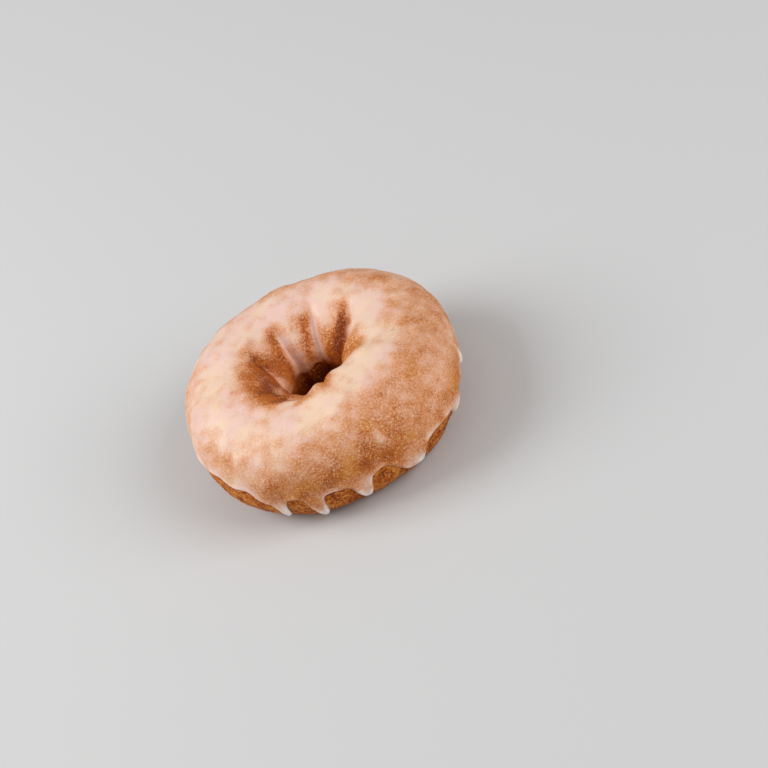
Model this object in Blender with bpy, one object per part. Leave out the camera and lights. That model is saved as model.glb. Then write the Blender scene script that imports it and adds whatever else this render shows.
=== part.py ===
"""A ring doughnut under a thin poured glaze, resting on its flat base.

Metres, +Z up. The origin is the middle of the bottom of its box and the hole's axis is Z.
The whole is one closed surface over two parameters: the azimuth round the axis and the
section angle round the dough, which is 0 at the outermost point, 90 degrees at the crest,
180 degrees in the throat and 270 degrees under the base. Creases, lumps, the glaze's
rounded lip and its drips are relief along the section's normal.
"""
import bmesh
import bpy
import numpy as np

MM = 0.001

# Driving sizes of the ring
OUTER_RADIUS = 45.5 * MM
CREST_RADIUS = 26.5 * MM
THROAT_RADIUS = 8.5 * MM
HEIGHT = 35.2 * MM
EQUATOR_HEIGHT = 18.1 * MM
BASE_SINK = 2.0 * MM
BASE_EASE = 1.0 * MM

# Fullness of the section's four quarters, as superellipse exponents: 2 is an ellipse
FULL_OUTER_TOP = 2.15
FULL_INNER_TOP = 1.95
FULL_INNER_BASE = 2.0
FULL_OUTER_BASE = 2.2
NORMAL_STEP = 0.25
RUN_SPAN = (-75.0, 180.0)
RUN_SAMPLES = 1021

# Slow waves of the plan and of the crest: waves a turn, depth, azimuth of a high point
PLAN_WAVES = ((2, 0.43 * MM, 8.0), (3, 0.36 * MM, 33.0), (4, 0.77 * MM, 35.0), (5, 0.14 * MM, 5.0))
CREST_WAVES = ((1, 0.33 * MM, 221.0), (2, 0.70 * MM, 114.0), (3, 0.30 * MM, 53.0))

# Creases that run down the funnel: azimuth where the funnel begins, lean, depth, half width before
# and after the line, and the section angle where each starts. The lean is how many degrees the line
# turns for each degree of section, between the two angles of LEAN_BAND, and it unwinds in the throat.
LEAN_BAND = (95.0, 165.0)
LEAN_UNWIND = (172.0, 246.0)
CREASES = (
    (28.5, -0.24, 3.3 * MM, 1.6 * MM, 3.4 * MM, 92.0),
    (65.5, 0.0, 3.3 * MM, 1.6 * MM, 3.3 * MM, 97.0),
    (100.5, 0.17, 3.2 * MM, 1.7 * MM, 3.4 * MM, 99.0),
    (119.5, 0.75, 2.7 * MM, 1.9 * MM, 3.2 * MM, 104.0),
    (187.0, 0.30, 1.9 * MM, 2.2 * MM, 2.8 * MM, 104.0),
    (247.0, 0.05, 1.6 * MM, 3.0 * MM, 3.0 * MM, 96.0),
    (276.0, -0.10, 1.3 * MM, 1.0 * MM, 1.5 * MM, 88.0),
    (322.0, -0.20, 1.6 * MM, 2.0 * MM, 2.8 * MM, 102.0),
)
CREASE_RUN_IN = 30.0
CREASE_FADES = (196.0, 252.0)
CREASE_SHARPNESS = 1.25

# Uneven dough: seeded low waves
LUMP_SEED = 19
LUMP_COUNT = 16
LUMP_DEPTH = 0.45 * MM
LUMP_LEAST_AROUND = 3
LUMP_MOST_AROUND = 12
LUMP_MOST_SECTION = 4

# Swells of the dough: azimuth, section angle, half widths in degrees, height
SWELLS = (
    (244.0, -40.0, 10.0, 21.0, 1.00 * MM),
    (311.0, -8.0, 8.0, 14.0, 0.70 * MM),
    (326.0, -5.0, 10.0, 16.0, 0.65 * MM),
    (226.0, 122.0, 18.0, 12.0, -1.80 * MM),
    (282.0, 116.0, 22.0, 22.0, 1.30 * MM),
    (316.0, 112.0, 12.0, 18.0, 1.50 * MM),
)

# Relief lies between the resting ring and the underside: section angles where it grows and fades
RELIEF_GROWS = (-68.0, -50.0)
RELIEF_FADES = (226.0, 250.0)

# The glaze
GLAZE_BODY = 0.40 * MM
GLAZE_RIPPLE = 0.12 * MM
RIPPLES_AROUND = 11.0
RIPPLES_ACROSS = 3.0
GLAZE_POOL = 0.40 * MM
POOL_FULL_DEPTH = 2.0 * MM
LIP_WIDTH = 1.0 * MM
LIP_BEAD = 0.30 * MM
LIP_BEAD_INSET = 1.0 * MM
LIP_BEAD_SPREAD = 0.9 * MM
THROAT_GLAZE_FADES = (160.0, 186.0)

# The glaze's lower edge between its drips: azimuth and section angle, the ring closing on the first
EDGE_LEVELS = (
    (0.0, -7.0), (42.0, -3.0), (85.0, -9.0), (130.0, -2.0), (168.0, -5.0), (188.0, 8.5),
    (204.0, 10.5), (212.0, 2.0), (218.0, 4.5), (225.0, -5.5), (238.0, -5.0), (254.0, -5.0),
    (260.0, -6.5), (274.0, -5.5), (300.0, -12.0), (332.0, -11.0),
)
# The edge is measured against this many points, running on past the start of the turn
EDGE_SAMPLES = 3201
EDGE_OVERLAP = 20.0

# Drips: azimuth, section angle of the tip, half width before and after it in degrees, bulge
DRIPS = (
    (3.0, -25.0, 3.0, 3.4, 0.50 * MM),
    (36.0, -34.0, 3.6, 2.4, 0.65 * MM),
    (60.0, -19.0, 3.2, 3.2, 0.40 * MM),
    (79.0, -31.0, 4.6, 2.6, 0.60 * MM),
    (112.0, -37.0, 2.6, 3.2, 0.70 * MM),
    (141.0, -22.0, 3.8, 3.0, 0.45 * MM),
    (170.0, -30.0, 3.0, 4.2, 0.60 * MM),
    (230.4, -30.0, 2.5, 2.4, 0.50 * MM),
    (246.0, -39.0, 4.1, 2.2, 0.70 * MM),
    (266.0, -30.0, 4.6, 3.3, 0.75 * MM),
    (291.0, -32.5, 9.8, 3.8, 0.55 * MM),
    (320.0, -28.5, 5.0, 3.2, 0.60 * MM),
    (342.0, -18.0, 2.2, 2.2, 0.60 * MM),
)
DRIP_BLUNTNESS = 4.0
DRIP_ROOT_SPREAD = 2.4
DRIP_ROOT_SHARE = 0.16
# Small waves of the edge: waves a turn, depth in degrees of section, azimuth of a high point
EDGE_WAVES = ((7, 1.3, 20.0), (11, 1.1, 9.0), (17, 0.8, 4.0), (29, 0.5, 2.0))
DRIP_BULGE_TOP = 4.0
DRIP_BULGE_RUN_OUT = 28.0

# One short fat run that set on the side
SIDE_RUN_AZIMUTH = 280.0
SIDE_RUN_HALF_WIDTH = 1.6 * MM
SIDE_RUN_BULGE = 0.5 * MM
SIDE_RUN_FOOT = (14.5, 20.0)
SIDE_RUN_THINS = (23.0, 39.0)

# The grid: its columns crowd round the drips, its rows follow the glaze's edge
COLUMNS = 158
DRIP_CROWD = 4.6
DRIP_CROWD_MARGIN = 2.0
CREASE_CROWD = 1.6
CREASE_CROWD_WIDTH = 4.5
CROWD_SAMPLES = 7201
FLAT_ROWS = (-108.0, -90.0, -72.0)
HEEL_ROWS = (-66.0, -60.0)
BARE_ROWS = 3
LIP_ROWS = (0.0, 0.22 * MM, 0.95 * MM)
FLANK_ROWS = 5
FLANK_TOP = 36.0
FLANK_SPREAD = 1.25
UPPER_ROWS = (
    46.0, 57.0, 68.0, 78.0, 87.0, 95.0, 102.0, 109.0, 116.0, 123.0, 130.0, 137.0,
    145.0, 153.0, 162.0, 172.0, 184.0, 198.0, 215.0, 234.0,
)

CRUST_COLOUR = (0.56, 0.28, 0.11, 1.0)
CRUST_ROUGHNESS = 0.55


def signed_power(value, exponent):
    """|value| to the exponent, with the value's sign."""
    return np.sign(value) * np.abs(value) ** exponent


def smooth_step(value, low, high):
    """0 below low, 1 above high, and an S-shaped rise between."""
    t = np.clip((value - low) / (high - low), 0.0, 1.0)
    return t * t * (3.0 - 2.0 * t)


def azimuth_gap(azimuth, centre):
    """The signed angle from centre to azimuth, in degrees from -180 to 180."""
    return (azimuth - centre + 180.0) % 360.0 - 180.0


def ring_section(angle):
    """Radius and height of the plain section at an angle in degrees.

    Each quarter is a superellipse. Its underside dips BASE_SINK below the table, and
    whatever is lower than the table is eased onto it, which makes the flat resting ring.
    """
    cosine = np.cos(np.radians(angle))
    sine = np.sin(np.radians(angle))
    outer = cosine > 0.0
    upper = sine > 0.0
    fullness = np.where(
        upper,
        np.where(outer, FULL_OUTER_TOP, FULL_INNER_TOP),
        np.where(outer, FULL_OUTER_BASE, FULL_INNER_BASE),
    )
    reach = np.where(outer, OUTER_RADIUS - CREST_RADIUS, CREST_RADIUS - THROAT_RADIUS)
    rise = np.where(upper, HEIGHT - EQUATOR_HEIGHT, EQUATOR_HEIGHT + BASE_SINK)
    radius = CREST_RADIUS + reach * signed_power(cosine, 2.0 / fullness)
    height = EQUATOR_HEIGHT + rise * signed_power(sine, 2.0 / fullness)
    ease = np.clip(0.5 + height / (2.0 * BASE_EASE), 0.0, 1.0)
    return radius, height * ease + BASE_EASE * ease * (1.0 - ease)


def section_normal(angle):
    """The section's outward normal, as its radial and upward parts."""
    radius_a, height_a = ring_section(angle - NORMAL_STEP)
    radius_b, height_b = ring_section(angle + NORMAL_STEP)
    radial = height_b - height_a
    upward = radius_a - radius_b
    length = np.hypot(radial, upward)
    return radial / length, upward / length


def section_run(angle):
    """The way along the section from its outermost point to an angle, up being positive."""
    samples = np.linspace(*RUN_SPAN, RUN_SAMPLES)
    radius, height = ring_section(samples)
    steps = np.hypot(np.diff(radius), np.diff(height))
    run = np.concatenate(([0.0], np.cumsum(steps)))
    run -= np.interp(0.0, samples, run)
    return np.interp(angle, samples, run)


def slow_waves(azimuth, waves):
    """The sum of cosine waves round the ring, each highest at its own azimuth."""
    total = np.zeros_like(azimuth)
    for count, depth, crest in waves:
        total = total + depth * np.cos(np.radians(count * (azimuth - crest)))
    return total


def patch_sum(azimuth, angle, patches):
    """The sum of soft oval patches: change exp(-(around / half)^2 - (across / half)^2)."""
    total = np.zeros_like(azimuth + angle)
    for centre, middle, half_around, half_across, change in patches:
        around = azimuth_gap(azimuth, centre) / half_around
        across = (angle - middle) / half_across
        total = total + change * np.exp(-around ** 2 - across ** 2)
    return total


def lump_relief(azimuth, angle):
    """The swells, and low seeded waves that are shallower the more they repeat."""
    draw = np.random.default_rng(LUMP_SEED)
    total = patch_sum(azimuth, angle, SWELLS)
    for _ in range(LUMP_COUNT):
        around = draw.integers(LUMP_LEAST_AROUND, LUMP_MOST_AROUND + 1)
        across = draw.integers(-LUMP_MOST_SECTION, LUMP_MOST_SECTION + 1)
        phase = draw.uniform(0.0, 360.0)
        depth = LUMP_DEPTH / np.hypot(around, 2.0 * across)
        total = total + depth * np.cos(np.radians(around * azimuth + across * angle + phase))
    return total


def lean_turn(lean, angle):
    """How far a line of that lean has turned at a section angle, in degrees of azimuth."""
    band = np.clip(angle, *LEAN_BAND) - LEAN_BAND[0]
    return lean * band * (1.0 - smooth_step(angle, *LEAN_UNWIND))


def crease_depth(azimuth, angle, radius):
    """How deep the funnel's creases cut, in metres, each a cusp that leans and fades at its ends."""
    total = np.zeros_like(azimuth + angle)
    for centre, lean, depth, before, after, start in CREASES:
        gap = azimuth_gap(azimuth, centre + lean_turn(lean, angle))
        across = radius * np.radians(gap) / np.where(gap < 0.0, before, after)
        cusp = np.exp(-np.abs(across) ** CREASE_SHARPNESS)
        run_in = smooth_step(angle, start, start + CREASE_RUN_IN)
        fade = 1.0 - smooth_step(angle, *CREASE_FADES)
        total = total + depth * cusp * run_in * fade
    return total


def edge_angle(azimuth):
    """Section angle of the glaze's lower edge: eased between its levels, lowered at each drip."""
    turn = azimuth % 360.0
    level_at = np.array([level[0] for level in EDGE_LEVELS] + [360.0])
    level = np.array([level[1] for level in EDGE_LEVELS] + [EDGE_LEVELS[0][1]])
    index = np.clip(np.searchsorted(level_at, turn, side="right") - 1, 0, len(EDGE_LEVELS) - 1)
    part = smooth_step(turn, level_at[index], level_at[index + 1])
    base = level[index] + (level[index + 1] - level[index]) * part + slow_waves(azimuth, EDGE_WAVES)
    edge = base
    for centre, tip, before, after, _ in DRIPS:
        edge = edge - (base - tip) * drip_shape(azimuth, centre, before, after)
    return edge


def drip_shape(azimuth, centre, before, after):
    """1 on a drip's middle line: a blunt tongue of its own width on each side, on a wider root."""
    gap = azimuth_gap(azimuth, centre)
    across = np.abs(gap / np.where(gap < 0.0, before, after))
    tongue = np.exp(-across ** DRIP_BLUNTNESS)
    root = np.exp(-(across / DRIP_ROOT_SPREAD) ** 2)
    return (1.0 - DRIP_ROOT_SHARE) * tongue + DRIP_ROOT_SHARE * root


def edge_distance(azimuth, angle):
    """Distance from the glaze's lower edge over the unrolled side, positive on the glaze."""
    line_azimuth = np.linspace(-EDGE_OVERLAP, 360.0 + EDGE_OVERLAP, EDGE_SAMPLES)
    line_x = OUTER_RADIUS * np.radians(line_azimuth)
    line_y = section_run(edge_angle(line_azimuth))
    x = OUTER_RADIUS * np.radians(azimuth % 360.0)
    y = section_run(angle)
    distance = np.empty(np.broadcast(x, y).shape)
    for row in range(distance.shape[1]):
        gap_x = x[:, row:row + 1] - line_x
        gap_y = y[:, row:row + 1] - line_y
        distance[:, row] = np.sqrt((gap_x ** 2 + gap_y ** 2).min(axis=1))
    return np.where(angle >= edge_angle(azimuth), distance, 0.0)


def drip_relief(azimuth, angle):
    """The swelling of each drip, from just above the edge's level down to its tip."""
    total = np.zeros_like(azimuth + angle)
    for centre, tip, before, after, bulge in DRIPS:
        shape = drip_shape(azimuth, centre, before, after)
        top = tip + DRIP_BULGE_TOP
        total = total + bulge * shape * (1.0 - smooth_step(angle, top, top + DRIP_BULGE_RUN_OUT))
    return total


def side_run_relief(azimuth, angle):
    """The short run on the side: a ridge that is round at its foot and thins out upward."""
    across = OUTER_RADIUS * np.radians(azimuth_gap(azimuth, SIDE_RUN_AZIMUTH)) / SIDE_RUN_HALF_WIDTH
    along = smooth_step(angle, *SIDE_RUN_FOOT) * (1.0 - smooth_step(angle, *SIDE_RUN_THINS))
    return SIDE_RUN_BULGE * np.exp(-across ** 2) * along


def glaze_relief(azimuth, angle, crease):
    """Thickness of the glaze: a rounded lip and bead at its edge, thicker in drips and creases."""
    distance = edge_distance(azimuth, angle)
    inward = 1.0 - np.clip(distance / LIP_WIDTH, 0.0, 1.0)
    lip = np.sqrt(1.0 - inward ** 2)
    bead = LIP_BEAD * np.exp(-((distance - LIP_BEAD_INSET) / LIP_BEAD_SPREAD) ** 2)
    ripple = GLAZE_RIPPLE * np.cos(np.radians(RIPPLES_AROUND * azimuth + RIPPLES_ACROSS * angle))
    pool = GLAZE_POOL * np.clip(crease / POOL_FULL_DEPTH, 0.0, 1.0)
    body = GLAZE_BODY + bead + ripple + pool
    body = body + drip_relief(azimuth, angle) + side_run_relief(azimuth, angle)
    return body * lip * (1.0 - smooth_step(angle, *THROAT_GLAZE_FADES))


def relief_room(angle):
    """0 over the flat resting ring and 1 above it, so that relief leaves the ring flat."""
    return smooth_step(angle, *RELIEF_GROWS) * (1.0 - smooth_step(angle, *RELIEF_FADES))


def ring_surface(azimuth, angle):
    """Points of the ring for columns of azimuth and rows of section angle, in degrees."""
    radius, height = ring_section(angle)
    radial, upward = section_normal(angle)
    room = relief_room(angle)
    crease = crease_depth(azimuth, angle, radius)
    relief = room * (lump_relief(azimuth, angle) - crease + glaze_relief(azimuth, angle, crease))
    radius = radius + relief * radial + slow_waves(azimuth, PLAN_WAVES) * radius / OUTER_RADIUS
    rise = slow_waves(azimuth, CREST_WAVES) * np.clip(height / HEIGHT, 0.0, 1.0)
    height = height + relief * upward + rise
    turn = np.radians(azimuth)
    points = np.stack((radius * np.cos(turn), radius * np.sin(turn), height), axis=-1)
    corner_low = points.min(axis=(0, 1))
    corner_high = points.max(axis=(0, 1))
    middle = (corner_low + corner_high) / 2.0
    return points - np.array((middle[0], middle[1], corner_low[2]))


def column_azimuths():
    """Azimuths of the grid's columns on the side, closer together at drips and creases."""
    fine = np.linspace(0.0, 360.0, CROWD_SAMPLES)
    crowd = np.ones_like(fine)
    for centre, _, before, after, _ in DRIPS:
        middle = centre + (after - before) / 2.0
        reach = (before + after) / 2.0 + DRIP_CROWD_MARGIN
        crowd = crowd + DRIP_CROWD * np.exp(-(azimuth_gap(fine, middle) / reach) ** 4)
    for crease in CREASES:
        crowd = crowd + CREASE_CROWD * np.exp(-(azimuth_gap(fine, crease[0]) / CREASE_CROWD_WIDTH) ** 2)
    count = np.concatenate(([0.0], np.cumsum((crowd[1:] + crowd[:-1]) / 2.0)))
    wanted = np.arange(COLUMNS) * count[-1] / COLUMNS
    return np.interp(wanted, count, fine)


def lean_columns(azimuth, angle):
    """Columns turned with the creases beside them, so that the grid runs along every crease."""
    centres = np.array([crease[0] for crease in CREASES])
    leans = np.array([crease[1] for crease in CREASES])
    lean = np.interp(azimuth, centres, leans, period=360.0)
    return azimuth + lean_turn(lean, angle)


def row_angles(azimuth):
    """Section angles of the grid, a row for each column: those of the side follow the glaze's edge."""
    edge = edge_angle(azimuth)
    ones = np.ones_like(azimuth)
    rows = [angle * ones for angle in FLAT_ROWS + HEEL_ROWS]
    heel = HEEL_ROWS[-1]
    for step in range(1, BARE_ROWS + 1):
        rows.append(heel + (edge - heel) * step / (BARE_ROWS + 1))
    samples = np.linspace(heel, UPPER_ROWS[0], RUN_SAMPLES)
    runs = section_run(samples)
    for inset in LIP_ROWS:
        rows.append(np.interp(section_run(edge) + inset, runs, samples))
    lip_top = rows[-1]
    for step in range(1, FLANK_ROWS + 1):
        part = (step / (FLANK_ROWS + 1)) ** FLANK_SPREAD
        rows.append(lip_top + (FLANK_TOP - lip_top) * part)
    rows.extend(angle * ones for angle in (FLANK_TOP,) + UPPER_ROWS)
    return np.stack(rows, axis=1)


def grid_faces(columns, rows):
    """Quads of a grid that closes both ways, wound so that they face outward."""
    column, row = np.meshgrid(np.arange(columns), np.arange(rows), indexing="ij")
    next_column = (column + 1) % columns
    next_row = (row + 1) % rows
    corners = (
        column * rows + row,
        next_column * rows + row,
        next_column * rows + next_row,
        column * rows + next_row,
    )
    return np.stack(corners, axis=-1).reshape(-1, 4)


def crust_material():
    """Fried dough seen through its glaze."""
    material = bpy.data.materials.new("glazed_crust")
    material.use_nodes = True
    shader = material.node_tree.nodes["Principled BSDF"]
    shader.inputs["Base Color"].default_value = CRUST_COLOUR
    shader.inputs["Roughness"].default_value = CRUST_ROUGHNESS
    shader.inputs["Metallic"].default_value = 0.0
    return material


def build_doughnut():
    """The one solid, as triangles split the shorter way across each quad."""
    azimuth = column_azimuths()
    angle = row_angles(azimuth)
    points = ring_surface(lean_columns(azimuth[:, None], angle), angle)
    faces = grid_faces(*angle.shape)
    mesh = bpy.data.meshes.new("doughnut")
    mesh.from_pydata(points.reshape(-1, 3).tolist(), [], faces.tolist())
    model = bmesh.new()
    model.from_mesh(mesh)
    bmesh.ops.triangulate(model, faces=model.faces[:], quad_method="SHORT_EDGE")
    model.to_mesh(mesh)
    model.free()
    mesh.shade_smooth()
    doughnut = bpy.data.objects.new("doughnut", mesh)
    mesh.materials.append(crust_material())
    bpy.context.scene.collection.objects.link(doughnut)


for leftover in list(bpy.data.objects):
    bpy.data.objects.remove(leftover)
build_doughnut()
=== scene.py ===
"""Looks of a glazed ring doughnut on a plain pale floor.

Two pieces replace the plain solid: the fried dough, and the thin glaze poured over it. Both are
surfaces over two parameters, the azimuth round the hole's axis and the section angle round the
dough. The section angle is 0 at the outermost point, 90 degrees at the crest, 180 in the throat
and 270 under the base. Lengths are in metres and angles in degrees, +Z is up.
"""
import math

import bpy
import numpy as np
from mathutils import Matrix, Vector


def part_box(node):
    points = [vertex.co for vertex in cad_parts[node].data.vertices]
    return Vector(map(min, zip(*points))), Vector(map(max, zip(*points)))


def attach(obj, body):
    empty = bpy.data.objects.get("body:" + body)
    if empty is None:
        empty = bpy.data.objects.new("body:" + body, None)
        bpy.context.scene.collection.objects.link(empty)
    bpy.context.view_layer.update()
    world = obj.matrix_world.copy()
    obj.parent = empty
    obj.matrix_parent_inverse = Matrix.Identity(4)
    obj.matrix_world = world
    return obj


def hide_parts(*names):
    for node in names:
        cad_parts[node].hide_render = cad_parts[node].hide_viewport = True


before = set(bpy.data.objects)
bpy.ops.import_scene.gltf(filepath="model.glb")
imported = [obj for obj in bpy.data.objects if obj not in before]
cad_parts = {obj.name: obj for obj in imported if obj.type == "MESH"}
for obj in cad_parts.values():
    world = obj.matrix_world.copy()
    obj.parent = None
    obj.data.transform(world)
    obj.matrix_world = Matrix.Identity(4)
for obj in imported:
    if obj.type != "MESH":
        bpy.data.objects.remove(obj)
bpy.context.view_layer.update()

MM = 0.001

# The plain ring: the same sizes as the solid it replaces
OUTER_RADIUS = 45.5 * MM
CREST_RADIUS = 26.5 * MM
THROAT_RADIUS = 8.5 * MM
HEIGHT = 35.2 * MM
EQUATOR_HEIGHT = 18.1 * MM
BASE_SINK = 2.0 * MM
BASE_EASE = 1.0 * MM
FULL_OUTER_TOP = 2.15
FULL_INNER_TOP = 1.95
FULL_INNER_BASE = 2.0
FULL_OUTER_BASE = 2.2
NORMAL_STEP = 0.25
RUN_SPAN = (-110.0, 280.0)
RUN_SAMPLES = 1561

# Slow waves of the plan and of the crest: waves a turn, depth, azimuth of a high point
PLAN_WAVES = ((2, 0.43 * MM, 8.0), (3, 0.36 * MM, 33.0), (4, 0.77 * MM, 35.0), (5, 0.14 * MM, 5.0))
CREST_WAVES = ((1, 0.33 * MM, 221.0), (2, 0.70 * MM, 114.0), (3, 0.30 * MM, 53.0))

# Creases down the funnel: azimuth at the top, lean, depth, half width before and after, start
CREASES = (
    (28.5, -0.24, 3.3 * MM, 1.6 * MM, 3.4 * MM, 92.0),
    (65.5, 0.0, 3.3 * MM, 1.6 * MM, 3.3 * MM, 97.0),
    (100.5, 0.17, 3.2 * MM, 1.7 * MM, 3.4 * MM, 99.0),
    (119.5, 0.75, 2.7 * MM, 1.9 * MM, 3.2 * MM, 104.0),
    (187.0, 0.30, 1.9 * MM, 2.2 * MM, 2.8 * MM, 104.0),
    (247.0, 0.05, 1.6 * MM, 3.0 * MM, 3.0 * MM, 96.0),
    (276.0, -0.10, 1.3 * MM, 1.0 * MM, 1.5 * MM, 88.0),
    (322.0, -0.20, 1.6 * MM, 2.0 * MM, 2.8 * MM, 102.0),
)
LEAN_BAND = (95.0, 165.0)
LEAN_UNWIND = (172.0, 246.0)
CREASE_RUN_IN = 30.0
CREASE_FADES = (196.0, 252.0)
CREASE_SHARPNESS = 1.25
CREASE_ROUND = 0.45 * MM

# Uneven dough: seeded low waves
LUMP_SEED = 19
LUMP_COUNT = 16
LUMP_DEPTH = 0.45 * MM
LUMP_LEAST_AROUND = 3
LUMP_MOST_AROUND = 12
LUMP_MOST_SECTION = 4
# Swells of the dough: azimuth, section angle, half widths in degrees, height
SWELLS = (
    (244.0, -40.0, 10.0, 21.0, 1.00 * MM),
    (311.0, -8.0, 8.0, 14.0, 0.70 * MM),
    (326.0, -5.0, 10.0, 16.0, 0.65 * MM),
    (226.0, 122.0, 18.0, 12.0, -1.80 * MM),
    (282.0, 116.0, 22.0, 22.0, 1.30 * MM),
    (316.0, 112.0, 12.0, 18.0, 1.50 * MM),
)
# Where relief begins above the flat resting ring, and ends before it on the inner side
RELIEF_GROWS = (-68.0, -50.0)
RELIEF_FADES = (226.0, 250.0)

# Thickness of the glaze: its body, ripple, pools in the creases, lip, and end in the throat
GLAZE_BODY = 0.40 * MM
GLAZE_RIPPLE = 0.12 * MM
RIPPLES_AROUND = 11.0
RIPPLES_ACROSS = 3.0
GLAZE_POOL = 0.40 * MM
POOL_FULL_DEPTH = 2.0 * MM
LIP_WIDTH = 1.0 * MM
LIP_BEAD = 0.30 * MM
LIP_BEAD_INSET = 1.0 * MM
LIP_BEAD_SPREAD = 0.9 * MM
THROAT_THINS = (160.0, 186.0)
THROAT_SHARE_LEFT = 0.45
THROAT_EDGE = 184.0
THROAT_EDGE_WAVES = ((3, 4.0, 20.0), (7, 3.0, 50.0), (13, 2.0, 11.0))
THROAT_LIP_WIDTH = 0.5 * MM
# The glaze's lower edge between its drips: azimuth and section angle, and waves on it in degrees
EDGE_LEVELS = (
    (0.0, -7.0), (42.0, -3.0), (85.0, -9.0), (130.0, -2.0), (168.0, -5.0), (188.0, 8.5),
    (204.0, 10.5), (212.0, 2.0), (218.0, 4.5), (225.0, -5.5), (238.0, -5.0), (254.0, -5.0),
    (260.0, -6.5), (274.0, -5.5), (300.0, -12.0), (332.0, -11.0),
)
EDGE_WAVES = ((7, 1.3, 20.0), (11, 1.1, 9.0), (17, 0.8, 4.0), (29, 0.5, 2.0))
EDGE_SAMPLES = 3201
EDGE_OVERLAP = 20.0
EDGE_REACH = 60.0
# Drips: azimuth, section angle of the tip, half width before and after it in degrees, bulge
DRIPS = (
    (3.0, -25.0, 3.0, 3.4, 0.50 * MM),
    (36.0, -34.0, 3.6, 2.4, 0.65 * MM),
    (60.0, -19.0, 3.2, 3.2, 0.40 * MM),
    (79.0, -31.0, 4.6, 2.6, 0.60 * MM),
    (112.0, -37.0, 2.6, 3.2, 0.70 * MM),
    (141.0, -22.0, 3.8, 3.0, 0.45 * MM),
    (170.0, -30.0, 3.0, 4.2, 0.60 * MM),
    (230.4, -30.0, 2.5, 2.4, 0.50 * MM),
    (246.0, -39.0, 4.1, 2.2, 0.70 * MM),
    (266.0, -30.0, 4.6, 3.3, 0.75 * MM),
    (291.0, -32.5, 9.8, 3.8, 0.55 * MM),
    (320.0, -28.5, 5.0, 3.2, 0.60 * MM),
    (342.0, -18.0, 2.2, 2.2, 0.60 * MM),
)
DRIP_BLUNTNESS = 4.0
DRIP_ROOT_SPREAD = 2.4
DRIP_ROOT_SHARE = 0.16
DRIP_FADES = (4.0, 32.0)
# The short fat run that set on the side
SIDE_RUN_AZIMUTH = 280.0
SIDE_RUN_HALF_WIDTH = 1.6 * MM
SIDE_RUN_BULGE = 0.5 * MM
SIDE_RUN_FOOT = (14.5, 20.0)
SIDE_RUN_THINS = (23.0, 39.0)

# Seeded waves of the crust's relief, of the glaze's cover and of the toast: size, strength, seed
DENTS = (7.0 * MM, 0.10 * MM, 31)
PEBBLES = (2.4 * MM, 0.045 * MM, 32)
GRAINS = (1.15 * MM, 0.035 * MM, 33)
PUCKERS = (2.4 * MM, 0.10 * MM, 34)
COVER_DRIFT = (15.0 * MM, 0.06, 41)
COVER_BLOTS = (5.5 * MM, 0.06, 42)
TOAST_DRIFT = (9.0 * MM, 0.12, 51)
# Waves in each field, their lengths as shares of its size, and the relief that thick glaze hides
WAVES_A_FIELD = 56
WAVE_LENGTHS = (0.65, 1.55)
CRUST_HIDDEN = 0.8

# How thick the glaze lies over the section: section angle and cover, from 0 bare to 1 thick
COVER_LEVELS = (
    (-45.0, 0.62), (-14.0, 0.56), (0.0, 0.60), (16.0, 0.66), (34.0, 0.68), (50.0, 0.76),
    (66.0, 0.84), (86.0, 0.86), (100.0, 0.82), (108.0, 0.64), (118.0, 0.42), (132.0, 0.28),
    (150.0, 0.15), (166.0, 0.05), (196.0, 0.02),
)
# Where it ran thin or lay thick, with some painted highlight and shade: azimuth, section angle, half
# widths in degrees, change of cover
COVER_PATCHES = (
    (268.0, 4.0, 30.0, 14.0, -0.22),
    (125.0, 88.0, 24.0, 12.0, 0.14),
    # The next two are painted highlight: paler spots on the crest where the soft boxes' sheen falls
    (301.0, 88.0, 14.0, 9.0, 0.18),
    (234.0, 66.0, 15.0, 13.0, 0.12),
    (328.0, 18.0, 20.0, 22.0, 0.12),
    (24.0, 42.0, 14.0, 14.0, 0.20),
    (195.0, 32.0, 16.0, 28.0, 0.06),
    (78.0, 104.0, 52.0, 8.0, 0.10),
    # The next two, and those at azimuths 181 and 150 further down, thin the cover on the funnel's left
    # wall as painted shade
    (184.0, 128.0, 50.0, 24.0, -0.40),
    (218.0, 110.0, 22.0, 14.0, -0.42),
    (258.0, 103.0, 12.0, 7.0, -0.38),
    (270.0, 100.0, 7.0, 6.0, -0.22),
    (316.0, 114.0, 9.0, 9.0, -0.38),
    (270.0, 109.0, 8.0, 11.0, -0.45),
    (229.0, 102.0, 9.0, 8.0, -0.32),
    (246.0, 97.0, 7.0, 5.0, -0.30),
    (295.0, 114.0, 20.0, 14.0, 0.34),
    (2.0, 108.0, 18.0, 12.0, 0.32),
    (45.0, 124.0, 16.0, 14.0, 0.28),
    (86.0, 150.0, 20.0, 26.0, 0.46),
    (222.0, 2.0, 14.0, 13.0, 0.18),
    (180.0, 9.0, 22.0, 9.0, 0.20),
    (98.0, 68.0, 14.0, 13.0, -0.15),
    (143.0, 103.0, 11.0, 8.0, -0.15),
    (18.0, 67.0, 13.0, 13.0, -0.12),
    (0.0, 124.0, 10.0, 8.0, 0.18),
    (94.0, 142.0, 5.0, 16.0, 0.25),
    (109.0, 130.0, 5.0, 14.0, -0.30),
    (202.0, 140.0, 18.0, 10.0, 0.26),
    (184.0, 150.0, 13.0, 9.0, 0.24),
    (168.0, 160.0, 9.0, 8.0, 0.06),
    (150.0, 147.0, 11.0, 14.0, -0.28),
    (277.0, 34.0, 10.0, 12.0, -0.08),
    (206.0, 34.0, 8.0, 9.0, -0.22),
    (236.0, 10.0, 9.0, 8.0, -0.14),
    (331.0, 123.0, 17.0, 14.0, -0.34),
    (345.0, 84.0, 8.0, 5.0, -0.22),
    (181.0, 108.0, 11.0, 12.0, -0.48),
    (158.0, 112.0, 10.0, 8.0, 0.14),
)
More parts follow.
